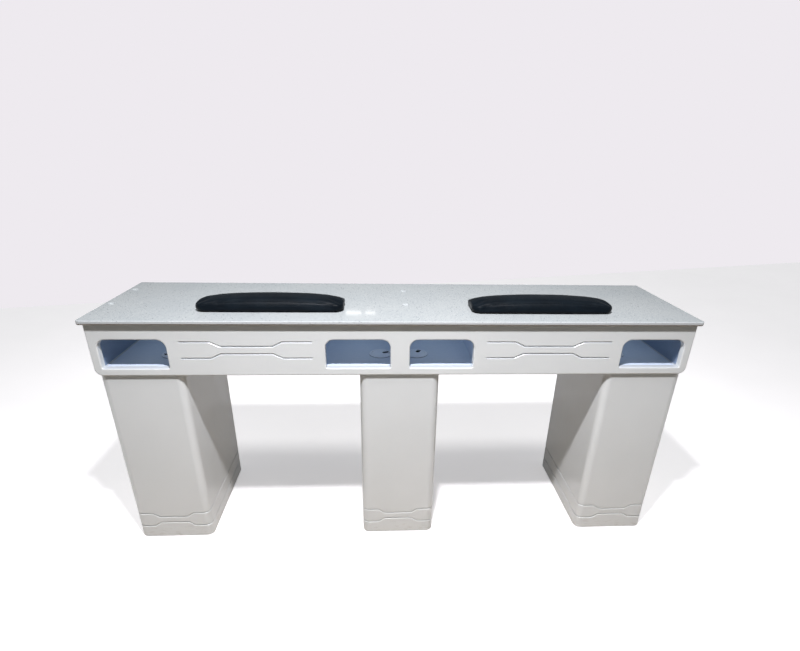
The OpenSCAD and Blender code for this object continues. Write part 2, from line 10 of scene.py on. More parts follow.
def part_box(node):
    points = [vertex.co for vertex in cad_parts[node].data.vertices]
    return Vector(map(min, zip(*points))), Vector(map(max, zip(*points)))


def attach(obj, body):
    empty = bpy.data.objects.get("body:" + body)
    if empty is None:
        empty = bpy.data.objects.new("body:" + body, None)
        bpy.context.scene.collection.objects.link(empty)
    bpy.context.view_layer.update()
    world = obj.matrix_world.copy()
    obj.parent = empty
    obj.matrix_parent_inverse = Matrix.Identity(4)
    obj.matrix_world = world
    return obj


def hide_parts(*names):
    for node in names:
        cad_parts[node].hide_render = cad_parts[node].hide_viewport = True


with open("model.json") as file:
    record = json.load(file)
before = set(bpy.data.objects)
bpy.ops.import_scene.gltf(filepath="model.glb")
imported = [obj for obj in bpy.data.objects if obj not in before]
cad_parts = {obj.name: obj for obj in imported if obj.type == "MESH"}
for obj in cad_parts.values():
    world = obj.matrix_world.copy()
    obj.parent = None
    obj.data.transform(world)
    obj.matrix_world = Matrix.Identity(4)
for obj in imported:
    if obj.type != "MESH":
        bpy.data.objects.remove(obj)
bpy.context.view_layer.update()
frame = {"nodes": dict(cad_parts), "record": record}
scene = bpy.context.scene
MM = 0.001

# Places that split one material into areas, in metres.
PEDESTAL_TOP = 0.6          # the cabinet's faces lie above this height
END_PANEL_X = 0.8665        # the end panels' inner faces lie outside this
FLOOR_TOP = 0.6265          # the bored edges of the cabinet floor lie below this height
SLOT_REACH = 0.032          # a grommet's cable slot lies within this radius, its flange's wall outside it


# ---- Materials ----

def rgb(red, green, blue):
    """Linear colour from the usual 0-255 screen values."""
    linear = [c / 12.92 if c <= 0.04045 else ((c + 0.055) / 1.055) ** 2.4
              for c in (red / 255, green / 255, blue / 255)]
    return (*linear, 1.0)


class Finish:
    """One procedural material on object coordinates, which are metres in the row frame."""

    def __init__(self, name, rough, metal=0.0, ior=1.5, **constants):
        self.material = bpy.data.materials.new(name)
        self.material.use_nodes = True
        self.tree = self.material.node_tree
        self.shader = self.tree.nodes["Principled BSDF"]
        self.shader.inputs["Roughness"].default_value = rough
        self.shader.inputs["Metallic"].default_value = metal
        self.shader.inputs["IOR"].default_value = ior
        for socket, value in constants.items():
            self.shader.inputs[socket.replace("_", " ")].default_value = value
        self.place = self.node("ShaderNodeTexCoord").outputs["Object"]

    def node(self, kind, **settings):
        made = self.tree.nodes.new(kind)
        for key, value in settings.items():
            setattr(made, key, value)
        return made

    def feed(self, socket, value):
        if isinstance(value, bpy.types.NodeSocket):
            self.tree.links.new(value, socket)
        else:
            socket.default_value = value

    def stretch(self, x, y, z):
        """Coordinates multiplied by x, y and z."""
        made = self.node("ShaderNodeMapping")
        self.feed(made.inputs["Vector"], self.place)
        made.inputs["Scale"].default_value = (x, y, z)
        return made.outputs["Vector"]

    def warp(self, reach, scale):
        """Coordinates pushed about by noise, by up to reach."""
        wave = self.node("ShaderNodeTexNoise")
        self.feed(wave.inputs["Vector"], self.place)
        wave.inputs["Scale"].default_value = scale
        push = self.node("ShaderNodeVectorMath", operation="MULTIPLY_ADD")
        self.feed(push.inputs[0], wave.outputs["Color"])
        push.inputs[1].default_value = (2 * reach,) * 3
        self.feed(push.inputs[2], self.place)
        return push.outputs["Vector"]

    def noise(self, scale, detail=2.0, place=None, rough=0.5):
        made = self.node("ShaderNodeTexNoise")
        self.feed(made.inputs["Vector"], place or self.place)
        made.inputs["Scale"].default_value = scale
        made.inputs["Detail"].default_value = detail
        made.inputs["Roughness"].default_value = rough
        return made.outputs["Fac"]

    def cells(self, scale, place=None, feature="F1"):
        made = self.node("ShaderNodeTexVoronoi", feature=feature)
        self.feed(made.inputs["Vector"], place or self.place)
        made.inputs["Scale"].default_value = scale
        return made

    def span(self, value, low, high, to_low=0.0, to_high=1.0):
        """value from low..high onto to_low..to_high, held at the ends."""
        made = self.node("ShaderNodeMapRange")
        for name, v in (("Value", value), ("From Min", low), ("From Max", high),
                        ("To Min", to_low), ("To Max", to_high)):
            self.feed(made.inputs[name], v)
        return made.outputs["Result"]

    def sums(self, operation, a, b=0.0):
        made = self.node("ShaderNodeMath", operation=operation)
        self.feed(made.inputs[0], a)
        self.feed(made.inputs[1], b)
        return made.outputs["Value"]

    def mix(self, share, a, b):
        made = self.node("ShaderNodeMix", data_type="RGBA")
        self.feed(made.inputs[0], share)
        self.feed(made.inputs[6], a)
        self.feed(made.inputs[7], b)
        return made.outputs[2]

    def chips(self, scale, share, size, place):
        """Grains: that share of the cells, each grain size across in cells."""
        grain = self.cells(scale, place)
        split = self.node("ShaderNodeSeparateColor")
        self.feed(split.inputs["Color"], grain.outputs["Color"])
        picked = self.sums("GREATER_THAN", split.outputs["Red"], 1 - share)
        inside = self.span(grain.outputs["Distance"], size, size * 0.7)
        return self.sums("MULTIPLY", picked, inside)

    def axis(self, index, normal=False):
        """x, y or z of the place, or of the surface's direction."""
        source = self.node("ShaderNodeNewGeometry").outputs["Normal"] if normal else self.place
        split = self.node("ShaderNodeSeparateXYZ")
        self.feed(split.inputs["Vector"], source)
        return split.outputs[index]

    def bump(self, height, distance, strength=1.0, over=None):
        made = self.node("ShaderNodeBump")
        self.feed(made.inputs["Height"], height)
        made.inputs["Distance"].default_value = distance
        made.inputs["Strength"].default_value = strength
        if over is not None:
            self.feed(made.inputs["Normal"], over)
        return made.outputs["Normal"]

    def done(self, colour, rough=None, normal=None):
        self.feed(self.shader.inputs["Base Color"], colour)
        if rough is not None:
            self.feed(self.shader.inputs["Roughness"], rough)
        if normal is not None:
            self.feed(self.shader.inputs["Normal"], normal)
        return self.material


def engineered_stone():
    """Four sizes of chips in a cloudy ground; the edge is painted lighter as a painted highlight, and the
    cut underside is rougher and greyer, partly its own duller tone and partly painted shade.
    """
    f = Finish("engineered_stone", 0.09)
    place = f.warp(0.0005, 700)
    cloud = f.span(f.noise(7, 3), 0.35, 0.65)
    colour = f.mix(cloud, rgb(173, 179, 181), rgb(179, 184, 185))
    fine = f.span(f.noise(1500, 3), 0.36, 0.64)
    colour = f.mix(f.sums("MULTIPLY", fine, 0.4), colour, rgb(158, 165, 168))
    colour = f.mix(f.sums("MULTIPLY", f.chips(620, 0.30, 0.50, place), 0.6), colour, rgb(138, 146, 150))
    colour = f.mix(f.sums("MULTIPLY", f.chips(450, 0.20, 0.46, place), 0.8), colour, rgb(204, 208, 209))
    colour = f.mix(f.sums("MULTIPLY", f.chips(330, 0.09, 0.42, place), 0.85), colour, rgb(98, 104, 110))
    colour = f.mix(f.sums("MULTIPLY", f.chips(250, 0.035, 0.40, place), 0.9), colour, rgb(54, 58, 64))
    # Downward faces are rougher, as the cut underside is, and painted a warm dark grey that is partly the
    # cut stone's duller tone and partly painted shade.
    sawn_and_shade = f.span(f.axis(2, normal=True), -0.3, -0.5)
    back = f.mix(f.span(f.noise(500, 3), 0.35, 0.65), rgb(143, 137, 131), rgb(155, 149, 143))
    # The upright edge faces are mixed towards a lighter grey: a painted highlight.
    edge = f.span(f.sums("ABSOLUTE", f.axis(2, normal=True)), 0.8, 0.4)
    colour = f.mix(f.sums("MULTIPLY", edge, 0.5), colour, rgb(208, 211, 214))
    colour = f.mix(sawn_and_shade, colour, back)
    polish = f.span(f.noise(22, 3), 0.3, 0.7, 0.032, 0.055)
    rough = f.sums("ADD", polish, f.sums("MULTIPLY", sawn_and_shade, 0.45))
    return f.done(colour, rough, f.bump(f.noise(260, 2), 0.00002))


def white_lacquer():
    """Sprayed lacquer: painted shade darkens the cabinet's upward faces and paints the end panels' inner
    faces a dark blue-grey; scuffed at the feet.
    """
    f = Finish("white_lacquer", 0.4, Coat_Weight=0.12, Coat_Roughness=0.22)
    soft = f.span(f.noise(4.5, 3), 0.35, 0.65)
    colour = f.mix(soft, rgb(217, 221, 222), rgb(221, 225, 226))
    grain = f.span(f.noise(900, 2), 0.4, 0.6)
    colour = f.mix(f.sums("MULTIPLY", grain, 0.35), colour, rgb(216, 219, 218))
    # Upward faces of the cabinet are darkened towards a blue-grey: painted shade.
    upward = f.span(f.axis(2, normal=True), 0.35, 0.8)
    painted_ledge_shade = f.sums("MULTIPLY", upward, f.sums("GREATER_THAN", f.axis(2), PEDESTAL_TOP))
    colour = f.mix(f.sums("MULTIPLY", painted_ledge_shade, 0.85), colour, rgb(168, 174, 182))
    # The end panels' inner faces are painted a dark blue-grey, darker than the interior boards: painted
    # shade.
    ends = f.sums("GREATER_THAN", f.sums("ABSOLUTE", f.axis(0)), END_PANEL_X)
    facing = f.sums("MULTIPLY", f.axis(0), f.axis(0, normal=True))
    inside = f.sums("MULTIPLY", ends, f.sums("LESS_THAN", facing, -0.7))
    colour = f.mix(inside, colour, rgb(126, 142, 166))
    low = f.span(f.axis(2), 0.055, 0.004)
    marks = f.span(f.noise(38, 5, f.stretch(1, 1, 3.5), 0.65), 0.54, 0.70)
    scuff = f.sums("MULTIPLY", low, marks)
    colour = f.mix(f.sums("MULTIPLY", scuff, 0.55), colour, rgb(172, 168, 160))
    rough = f.sums("ADD", f.span(f.noise(26, 3), 0.3, 0.7, 0.36, 0.44), f.sums("MULTIPLY", scuff, 0.15))
    peel = f.bump(f.noise(420, 2), 0.00006)
    return f.done(colour, rough, f.bump(f.noise(2600, 1), 0.00001, 1.0, peel))


def interior_board():
    """Pale board with brown cut edges; its blue-grey tint is a painted shade colour, the cool cast of the
    cubbies' shade.
    """
    f = Finish("interior_board", 0.55)
    fibres = f.span(f.noise(60, 5, f.stretch(1, 9, 9)), 0.35, 0.65)
    # The blue in these colours stands in for the cool light in shade: painted shade colour.
    colour = f.mix(fibres, rgb(199, 212, 233), rgb(206, 218, 237))
    dust = f.chips(260, 0.06, 0.30, f.place)
    colour = f.mix(f.sums("MULTIPLY", dust, 0.25), colour, rgb(178, 190, 208))
    upright = f.sums("LESS_THAN", f.sums("ABSOLUTE", f.axis(2, normal=True)), 0.3)
    bored = f.sums("MULTIPLY", upright, f.sums("LESS_THAN", f.axis(2), FLOOR_TOP))
    colour = f.mix(bored, colour, f.mix(f.noise(300, 3), rgb(72, 58, 44), rgb(98, 80, 60)))
    rough = f.span(f.noise(40, 3), 0.3, 0.7, 0.48, 0.62)
    return f.done(colour, rough, f.bump(f.noise(700, 3), 0.00005))


def grommet_painted_shade(f, colour):
    """Painted shade: the cable slot's upright faces are nearly black, standing in for the hole's darkness,
    and the flange's outer upright face is dark grey, standing in for a contact shadow.
    """
    outer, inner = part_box("left_outer_grommet_ring"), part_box("left_inner_grommet_ring")
    away = f.sums("ABSOLUTE", f.axis(0))
    to_outer = f.sums("ABSOLUTE", f.sums("ADD", away, (outer[0][0] + outer[1][0]) / 2))
    to_inner = f.sums("ABSOLUTE", f.sums("ADD", away, (inner[0][0] + inner[1][0]) / 2))
    across = f.sums("MINIMUM", to_outer, to_inner)
    along = f.sums("SUBTRACT", f.axis(1), (outer[0][1] + outer[1][1]) / 2)
    squares = [f.sums("MULTIPLY", part, part) for part in (across, along)]
    reach = f.sums("SQRT", f.sums("ADD", *squares))
    upright = f.sums("LESS_THAN", f.sums("ABSOLUTE", f.axis(2, normal=True)), 0.5)
    slot = f.sums("MULTIPLY", upright, f.sums("LESS_THAN", reach, SLOT_REACH))
    flange = f.sums("MULTIPLY", upright, f.sums("GREATER_THAN", reach, SLOT_REACH))
    # Painted contact shadow on the flange's outer face, then painted near-black shade in the slot.
    colour = f.mix(f.sums("MULTIPLY", flange, 0.75), colour, rgb(72, 78, 92))
    return f.mix(slot, colour, rgb(16, 16, 18))


def moulded(name, dark, light, rough, grain, depth, walls=None):
    """Moulded plastic with a fine spark-eroded texture; walls(f, colour) may recolour some faces."""
    f = Finish(name, rough)
    colour = f.mix(f.span(f.noise(34, 4), 0.3, 0.7), dark, light)
    speck = f.span(f.noise(grain, 2), 0.35, 0.65)
    colour = f.mix(f.sums("MULTIPLY", speck, 0.18), colour, tuple(0.7 * c for c in dark[:3]) + (1.0,))
    if walls is not None:
        colour = walls(f, colour)
    pits = f.cells(grain, feature="SMOOTH_F1").outputs["Distance"]
    even = f.span(f.noise(70, 3), 0.3, 0.7, rough - 0.05, rough + 0.05)
    return f.done(colour, even, f.bump(pits, depth))


def plywood():
    f = Finish("plywood", 0.62)
    face = f.noise(9, 6, f.stretch(1.2, 18, 18), 0.62)
    rings = f.span(face, 0.3, 0.7)
    colour = f.mix(rings, rgb(214, 190, 150), rgb(188, 156, 112))
    pores = f.span(f.noise(260, 3, f.stretch(0.05, 1, 1)), 0.56, 0.72)
    colour = f.mix(f.sums("MULTIPLY", pores, 0.5), colour, rgb(132, 100, 66))
    plies = f.span(f.sums("SINE", f.sums("MULTIPLY", f.axis(2), math.tau / 0.003)), -0.35, 0.35)
    edge = f.span(f.sums("ABSOLUTE", f.axis(2, normal=True)), 0.5, 0.3)
    colour = f.mix(f.sums("MULTIPLY", f.sums("MULTIPLY", edge, plies), 0.55), colour, rgb(140, 108, 74))
    relief = f.bump(f.noise(300, 4, f.stretch(0.1, 1, 1)), 0.00012)
    return f.done(colour, f.span(face, 0.3, 0.7, 0.56, 0.7), relief)


def zinc_steel():
    f = Finish("zinc_steel", 0.34, metal=1.0)
    spangle = f.cells(260, f.warp(0.002, 120))
    split = f.node("ShaderNodeSeparateColor")
    f.feed(split.inputs["Color"], spangle.outputs["Color"])
    colour = f.mix(split.outputs["Red"], rgb(176, 180, 186), rgb(206, 208, 210))
    colour = f.mix(f.span(f.noise(18, 4), 0.5, 0.75), colour, rgb(184, 180, 168))
    rough = f.span(split.outputs["Green"], 0.0, 1.0, 0.28, 0.42)
    return f.done(colour, rough, f.bump(f.noise(900, 2, f.stretch(0.2, 0.04, 1)), 0.00003))


def pull_metal():
    f = Finish("pull_metal", 0.3, metal=1.0)
    lines = f.noise(1500, 3, f.stretch(0.03, 1, 1))
    colour = f.mix(f.span(lines, 0.3, 0.7), rgb(190, 192, 196), rgb(214, 215, 217))
    return f.done(colour, f.span(lines, 0.3, 0.7, 0.24, 0.36), f.bump(lines, 0.00003))


def drawer_board():
    f = Finish("drawer_board", 0.5)
    cloud = f.span(f.noise(12, 4), 0.3, 0.7)
    colour = f.mix(cloud, rgb(226, 226, 223), rgb(233, 233, 231))
    grain = f.span(f.noise(500, 3, f.stretch(1, 0.25, 0.25)), 0.4, 0.62)
    colour = f.mix(f.sums("MULTIPLY", grain, 0.3), colour, rgb(212, 212, 208))
    return f.done(colour, f.span(f.noise(30, 2), 0.3, 0.7, 0.44, 0.56), f.bump(f.noise(600, 2), 0.00006))


def black_vinyl(name="black_vinyl", thread=False):
    """Soft vinyl with a leather grain, or the same black as a thread."""
    f = Finish(name, 0.6 if thread else 0.4, ior=1.36, Specular_IOR_Level=0.13, Sheen_Weight=0.05,
               Sheen_Roughness=0.35)
    colour = f.mix(f.span(f.noise(14, 4), 0.3, 0.7), rgb(12, 18, 24), rgb(17, 25, 32))
    if thread:
        twist = f.noise(900, 2, f.stretch(1, 1, 4))
        return f.done(f.mix(twist, rgb(14, 18, 23), rgb(34, 41, 50)), None, f.bump(twist, 0.0001))
    place = f.warp(0.0006, 260)
    pebble = f.span(f.cells(560, place, "DISTANCE_TO_EDGE").outputs["Distance"], 0.0, 0.16)
    # The grain's hollows are darkened: painted shade.
    colour = f.mix(f.sums("MULTIPLY", f.sums("SUBTRACT", 1.0, pebble), 0.5), colour, rgb(5, 6, 7))
    crease = f.span(f.noise(48, 4, f.stretch(2.4, 1, 1)), 0.35, 0.65)
    rough = f.sums("ADD", f.span(f.noise(60, 4), 0.3, 0.7, 0.34, 0.44), f.sums("MULTIPLY", pebble, 0.03))
    soft = f.bump(crease, 0.0003, 0.4)
    return f.done(colour, rough, f.bump(pebble, 0.00012, 0.6, soft))


MATERIALS = {
    "engineered_stone": engineered_stone(),
    "white_lacquer": white_lacquer(),
    "interior_board": interior_board(),
    "plywood": plywood(),
    "zinc_steel": zinc_steel(),
    "pull_metal": pull_metal(),
    "drawer_board": drawer_board(),
    "black_vinyl": black_vinyl(),
    "cover_cap_plastic": moulded(
        "cover_cap_plastic", rgb(172, 178, 180), rgb(178, 184, 186), 0.4, 1400, 0.00001),
    "grommet_plastic": moulded(
        "grommet_plastic", rgb(225, 234, 250), rgb(232, 240, 254), 0.42, 1600, 0.00004, grommet_painted_shade),
    "glide_plastic": moulded("glide_plastic", rgb(46, 46, 48), rgb(58, 58, 60), 0.5, 1200, 0.00006),
    "armrest_board": moulded("armrest_board", rgb(34, 34, 36), rgb(44, 44, 46), 0.7, 700, 0.0002),
    "grip_rubber": moulded("grip_rubber", rgb(38, 38, 40), rgb(50, 50, 52), 0.8, 900, 0.0001),
}
thread_material = black_vinyl("black_thread", thread=True)

for part in frame["record"]["subparts"]:
    node = frame["nodes"][part["node"]]
    node.data.materials.clear()
    node.data.materials.append(MATERIALS[part["material_slot"]])


# ---- Armrest cushions ----

ARM_CORNER = 28 * MM        # plan radius of a cushion's corners
ARM_SAG = 11 * MM           # how far the top falls from the middle to the ends
TOP_SLACK = 1.5 * MM        # how far the blank stays below the CAD pad, before it is blown up
END_RUN = 30 * MM           # length of the rounded-off stretch at each end
END_DROP = 6 * MM           # how much further the top falls there
CROWN_R = 190 * MM          # radius of the crown across the depth
CROWN_Y = -10 * MM          # line of the crown's highest points
SEAM_DROP = 1.4 * MM        # how far the seam lies below the top's own edge
SEAM_PULL = 0.9 * MM        # how far the thread pulls the leather in along the seam
WELT_R = 0.95 * MM          # radius of the welt in the seam
STITCH_INSET = 4.2 * MM     # distance of the stitches inside the seam
CLOTH_STEPS = 20            # frames that the cushion is inflated for


def rounded_outline(half_x, half_y, radius, per_corner=9, per_side=36):
    """Counter-clockwise loop of a rounded rectangle, with (point, outward direction)."""
    radius = max(min(radius, half_x, half_y), 0.4 * MM)
    loop = []
    for k in range(4):
        sx, sy = ((1, 1), (-1, 1), (-1, -1), (1, -1))[k]
        centre = Vector((sx * (half_x - radius), sy * (half_y - radius)))
        for i in range(per_corner + 1):
            turn = math.radians(90 * k + 90 * i / per_corner)
            out = Vector((math.cos(turn), math.sin(turn)))
            loop.append((centre + radius * out, out))
        ahead = ((-1, 1), (-1, -1), (1, -1), (1, 1))[k]
        nxt = Vector((ahead[0] * (half_x - radius), ahead[1] * (half_y - radius)))
        turn = math.radians(90 * (k + 1))
        out = Vector((math.cos(turn), math.sin(turn)))
        a, b = centre + radius * out, nxt + radius * out
        for i in range(1, per_side):
            loop.append((a.lerp(b, i / per_side), out))
    return loop


class Cushion:
    """The shape that both armrests share, from the box of the CAD pad."""

    def __init__(self, node):
        low, high = (Vector(c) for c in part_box(node))
        self.half_x = (high.x - low.x) / 2
        self.half_y = (high.y - low.y) / 2
        self.height = high.z - low.z

    def top(self, x, y):
        """Height of the leather over its underside."""
        end = max(0.0, (abs(x) - self.half_x + END_RUN) / END_RUN)
        arch = self.height - TOP_SLACK - ARM_SAG * (x / self.half_x) ** 2 - END_DROP * end ** 2.2
        return arch - (y - CROWN_Y) ** 2 / (2 * CROWN_R)

    def ring(self, bm, inset, rise, smaller=0.0):
        """Loop of vertices inset from the outline; rise(x, y) is its height."""
        half_x, half_y = self.half_x - inset - smaller, self.half_y - inset - smaller
        loop = rounded_outline(half_x, half_y, ARM_CORNER - inset)
        return [bm.verts.new((p.x, p.y, rise(p.x, p.y))) for p, _ in loop]

    def blank(self):
        """Closed shape a little smaller than the cushion, to be blown up."""
        bm = bmesh.new()
        smaller = 1.2 * MM
        foot = 4.5 * MM
        rings = [self.ring(bm, 6 * MM, lambda x, y: 0.5 * MM),
                 self.ring(bm, 2 * MM, lambda x, y: 2 * MM, smaller),
                 self.ring(bm, 0, lambda x, y: foot, smaller)]
        for part in (0.45, 0.75, 1.0):
            rings.append(self.ring(
                bm, 0, lambda x, y, p=part: foot + p * (self.top(x, y) - 7 * MM), smaller))
        for inset, drop in ((3, 1.6), (8, 1.5), (16, 1.9), (27, 2.3), (40, 2.6), (52, 2.8), (59, 2.8)):
            rings.append(self.ring(
                bm, inset * MM, lambda x, y, d=drop: self.top(x, y) - d * MM, smaller))
        for a, b in zip(rings, rings[1:]):
            for i in range(len(a)):
                j = (i + 1) % len(a)
                bm.faces.new((a[i], a[j], b[j], b[i]))
        bm.faces.new(list(reversed(rings[0])))
        bm.faces.new(rings[-1])
        bmesh.ops.triangulate(bm, faces=[f for f in bm.faces if len(f.verts) > 4])
        mesh = bpy.data.meshes.new("cushion_blank")
        bm.to_mesh(mesh)
        bm.free()
        return mesh


def settled(obj, name):
    """The mesh of obj with its modifiers applied."""
    shown = obj.evaluated_get(bpy.context.evaluated_depsgraph_get())
    made = bpy.data.meshes.new_from_object(shown)
    made.name = name
    return made


def blown_cushion(shape):
    """Cushion mesh about its own middle: remeshed, inflated as cloth, held below."""
    voxel = 4 * MM
    furthest = 4 * MM       # a vertex moves no further than this
    obj = bpy.data.objects.new("cushion_work", shape.blank())
    scene.collection.objects.link(obj)
    remesh = obj.modifiers.new("remesh", "REMESH")
    remesh.mode = "VOXEL"
    remesh.voxel_size = voxel
    obj.data = settled(obj, "cushion_even")
    obj.modifiers.clear()
    held = obj.vertex_groups.new(name="held")
    held.add([v.index for v in obj.data.vertices if v.co.z < 2.5 * MM], 1.0, "REPLACE")
    start = [v.co.copy() for v in obj.data.vertices]
    cloth = obj.modifiers.new("cloth", "CLOTH")
    cloth.settings.quality = 6
    cloth.settings.mass = 0.3
    cloth.settings.use_pressure = True
    cloth.settings.uniform_pressure_force = 4
    cloth.settings.bending_stiffness = 0.6
    cloth.settings.vertex_group_mass = "held"
    cloth.settings.effector_weights.gravity = 0
    cloth.point_cache.frame_start = 1
    cloth.point_cache.frame_end = CLOTH_STEPS
    for step in range(1, CLOTH_STEPS + 1):
        scene.frame_set(step)
    blown = settled(obj, "cushion_blown")
    obj.modifiers.clear()
    scene.frame_set(1)
    for v, w, at in zip(obj.data.vertices, blown.vertices, start):
        move = w.co - at
        v.co = at + move * min(1.0, furthest / max(move.length, 1e-9))
    obj.vertex_groups.clear()
    soft = obj.modifiers.new("soft", "SMOOTH")
    soft.factor = 0.5
    soft.iterations = 8
    finer = obj.modifiers.new("finer", "SUBSURF")
    finer.levels = 1
    made = settled(obj, "cushion_fine")
    bpy.data.objects.remove(obj)
    return made


def shaped_cushion(shape, fine, name, mirrored, seed):
    """A copy of the blown cushion with its seam pulled in and a hand-sewn unevenness."""
    mesh = fine.copy()
    mesh.name = name
    side = -1 if mirrored else 1
    for v in mesh.vertices:
        x, y = v.co.x * side, v.co.y
        v.co.x = x
        lift = min(1.0, max(0.0, (v.co.z - 4 * MM) / (8 * MM)))
        wobble = noise.noise(Vector((x * 16 + seed, y * 26, v.co.z * 30))) * 0.55 * MM
        v.co.z += wobble * lift
        edge = edge_distance(shape, x, y)
        below = (v.co.z - seam_height(shape, x, y)) / (1.8 * MM)
        near = math.exp(-below * below) * math.exp(-max(0.0, edge - 1 * MM) / (4 * MM))
        out = Vector((x / shape.half_x ** 2, y / shape.half_y ** 2, 0)).normalized()
        v.co -= out * (SEAM_PULL * near)
        v.co.z = max(v.co.z, 0.45 * MM)
    if mirrored:
        mesh.flip_normals()
    for polygon in mesh.polygons:
        polygon.use_smooth = True
    mesh.materials.clear()
    mesh.materials.append(MATERIALS["black_vinyl"])
    return mesh


def edge_distance(shape, x, y):
    """How far inside the plan outline a point is; about 0 on the side walls."""
    cx = max(abs(x) - (shape.half_x - ARM_CORNER), 0.0)
    cy = max(abs(y) - (shape.half_y - ARM_CORNER), 0.0)
    if cx > 0 and cy > 0:
        return max(ARM_CORNER - math.hypot(cx, cy), 0.0)
    return max(min(shape.half_x - abs(x), shape.half_y - abs(y)), 0.0)


def seam_height(shape, x, y):
    """The seam runs where the top panel meets the side panel."""
    return shape.top(x, y) - SEAM_DROP


def seam_line(shape, tree, inset=0.0, count=300):
    """Points of the cushion along the seam, or inset from it, as (point, surface direction)."""
    outline = rounded_outline(shape.half_x, shape.half_y, ARM_CORNER, 12, 60)
    loop = [(Vector((p.x, p.y, 0)), Vector((o.x, o.y, 0))) for p, o in outline]
    lengths = [0.0]
    for (a, _), (b, _) in zip(loop, loop[1:] + loop[:1]):
        lengths.append(lengths[-1] + (b - a).length)
    found = []
    at = 0
    for i in range(count):
        target = lengths[-1] * i / count
        while lengths[at + 1] < target:
            at += 1
        share = (target - lengths[at]) / max(lengths[at + 1] - lengths[at], 1e-9)
        (a, oa), (b, ob) = loop[at], loop[(at + 1) % len(loop)]
        p, out = a.lerp(b, share), oa.lerp(ob, share).normalized()
        p = p - out * inset
        p.z = seam_height(shape, p.x, p.y)
        start = p + out * (20 * MM) + Vector((0, 0, 20 * MM if inset else 0))
        hit, normal, _, _ = tree.ray_cast(start, (p - start).normalized(), 0.08)
        found.append((hit or p, normal or out))
    return found


def swept_tube(name, line, radius, sides=8):
    """Closed tube along a loop of (point, direction out of the surface)."""
    bm = bmesh.new()
    rings = []
    count = len(line)
    for i, (p, out) in enumerate(line):
        forward = (line[(i + 1) % count][0] - line[i - 1][0]).normalized()
        across = forward.cross(out).normalized()
        up = across.cross(forward).normalized()
        rings.append([bm.verts.new(p + radius * (math.cos(t) * across + math.sin(t) * up))
                      for t in (math.tau * k / sides for k in range(sides))])
    for a, b in zip(rings, rings[1:] + rings[:1]):
        for k in range(sides):
            j = (k + 1) % sides
            face = bm.faces.new((a[k], b[k], b[j], a[j]))
            face.smooth = True
    bmesh.ops.recalc_face_normals(bm, faces=bm.faces)
    mesh = bpy.data.meshes.new(name)
    bm.to_mesh(mesh)
    bm.free()
    return mesh


def stitch_mesh(name, line, length=3.2 * MM, pitch=4.6 * MM, radius=0.32 * MM, sides=6):
    """A row of short round-ended threads that lie on the surface along the line."""
    bm = bmesh.new()
    points = [p for p, _ in line]
    total, marks = 0.0, [0.0]
    for a, b in zip(points, points[1:] + points[:1]):
        total += (b - a).length
        marks.append(total)

    def on_line(s):
        s %= total
        i = next(k for k in range(len(points)) if marks[k + 1] >= s)
        share = (s - marks[i]) / max(marks[i + 1] - marks[i], 1e-9)
        j = (i + 1) % len(points)
        return points[i].lerp(points[j], share), line[i][1].lerp(line[j][1], share).normalized()

    # Along the thread, how fat it is there and how far it stands off the surface.
    profile = ((-0.5, 0.15, -0.35), (-0.36, 0.85, 0.1), (0.0, 1.0, 0.35),
               (0.36, 0.85, 0.1), (0.5, 0.15, -0.35))
    for n in range(int(total / pitch)):
        middle = n * total / int(total / pitch)
        rings = []
        for along, fat, lift in profile:
            p, out = on_line(middle + along * length)
            ahead, _ = on_line(middle + along * length + 0.4 * MM)
            across = (ahead - p).normalized().cross(out).normalized()
            centre = p + out * (radius * lift)
            rings.append([
                bm.verts.new(centre + radius * fat * (math.cos(t) * across + math.sin(t) * out))
                for t in (math.tau * k / sides for k in range(sides))])
        for a, b in zip(rings, rings[1:]):
            for k in range(sides):
                j = (k + 1) % sides
                bm.faces.new((a[k], b[k], b[j], a[j])).smooth = True
        bm.faces.new(rings[0])
        bm.faces.new(list(reversed(rings[-1])))
    bmesh.ops.recalc_face_normals(bm, faces=bm.faces)
    mesh = bpy.data.meshes.new(name)
    bm.to_mesh(mesh)
    bm.free()
    return mesh


def add_piece(name, mesh, place, body, material=None):
    if material is not None:
        mesh.materials.clear()
        mesh.materials.append(material)
    mesh.transform(Matrix.Translation(place))
    obj = bpy.data.objects.new(name, mesh)
    scene.collection.objects.link(obj)
    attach(obj, body)
    return obj


shape = Cushion("left_armrest_pad")
fine = blown_cushion(shape)
for side, mirrored, seed in (("left", False, 1.7), ("right", True, 9.3)):
    node = side + "_armrest_pad"
    low, high = (Vector(c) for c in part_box(node))
    place = Vector(((low.x + high.x) / 2, (low.y + high.y) / 2, low.z))
    body = side + "_armrest"
    mesh = shaped_cushion(shape, fine, side + "_armrest_cushion", mirrored, seed)
    tree = BVHTree.FromPolygons([v.co.copy() for v in mesh.vertices],
                                [p.vertices[:] for p in mesh.polygons])
    welt = swept_tube(side + "_armrest_welt", seam_line(shape, tree), WELT_R)
    stitches = stitch_mesh(side + "_armrest_stitches", seam_line(shape, tree, STITCH_INSET))
    cushion = add_piece(side + "_armrest_cushion", mesh, place, body)
    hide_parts(node)
    add_piece(side + "_armrest_welt", welt, place, body, MATERIALS["black_vinyl"])
    add_piece(side + "_armrest_stitches", stitches, place, body, thread_material)
bpy.data.meshes.remove(fine)


# ---- Floor, background, lights ----

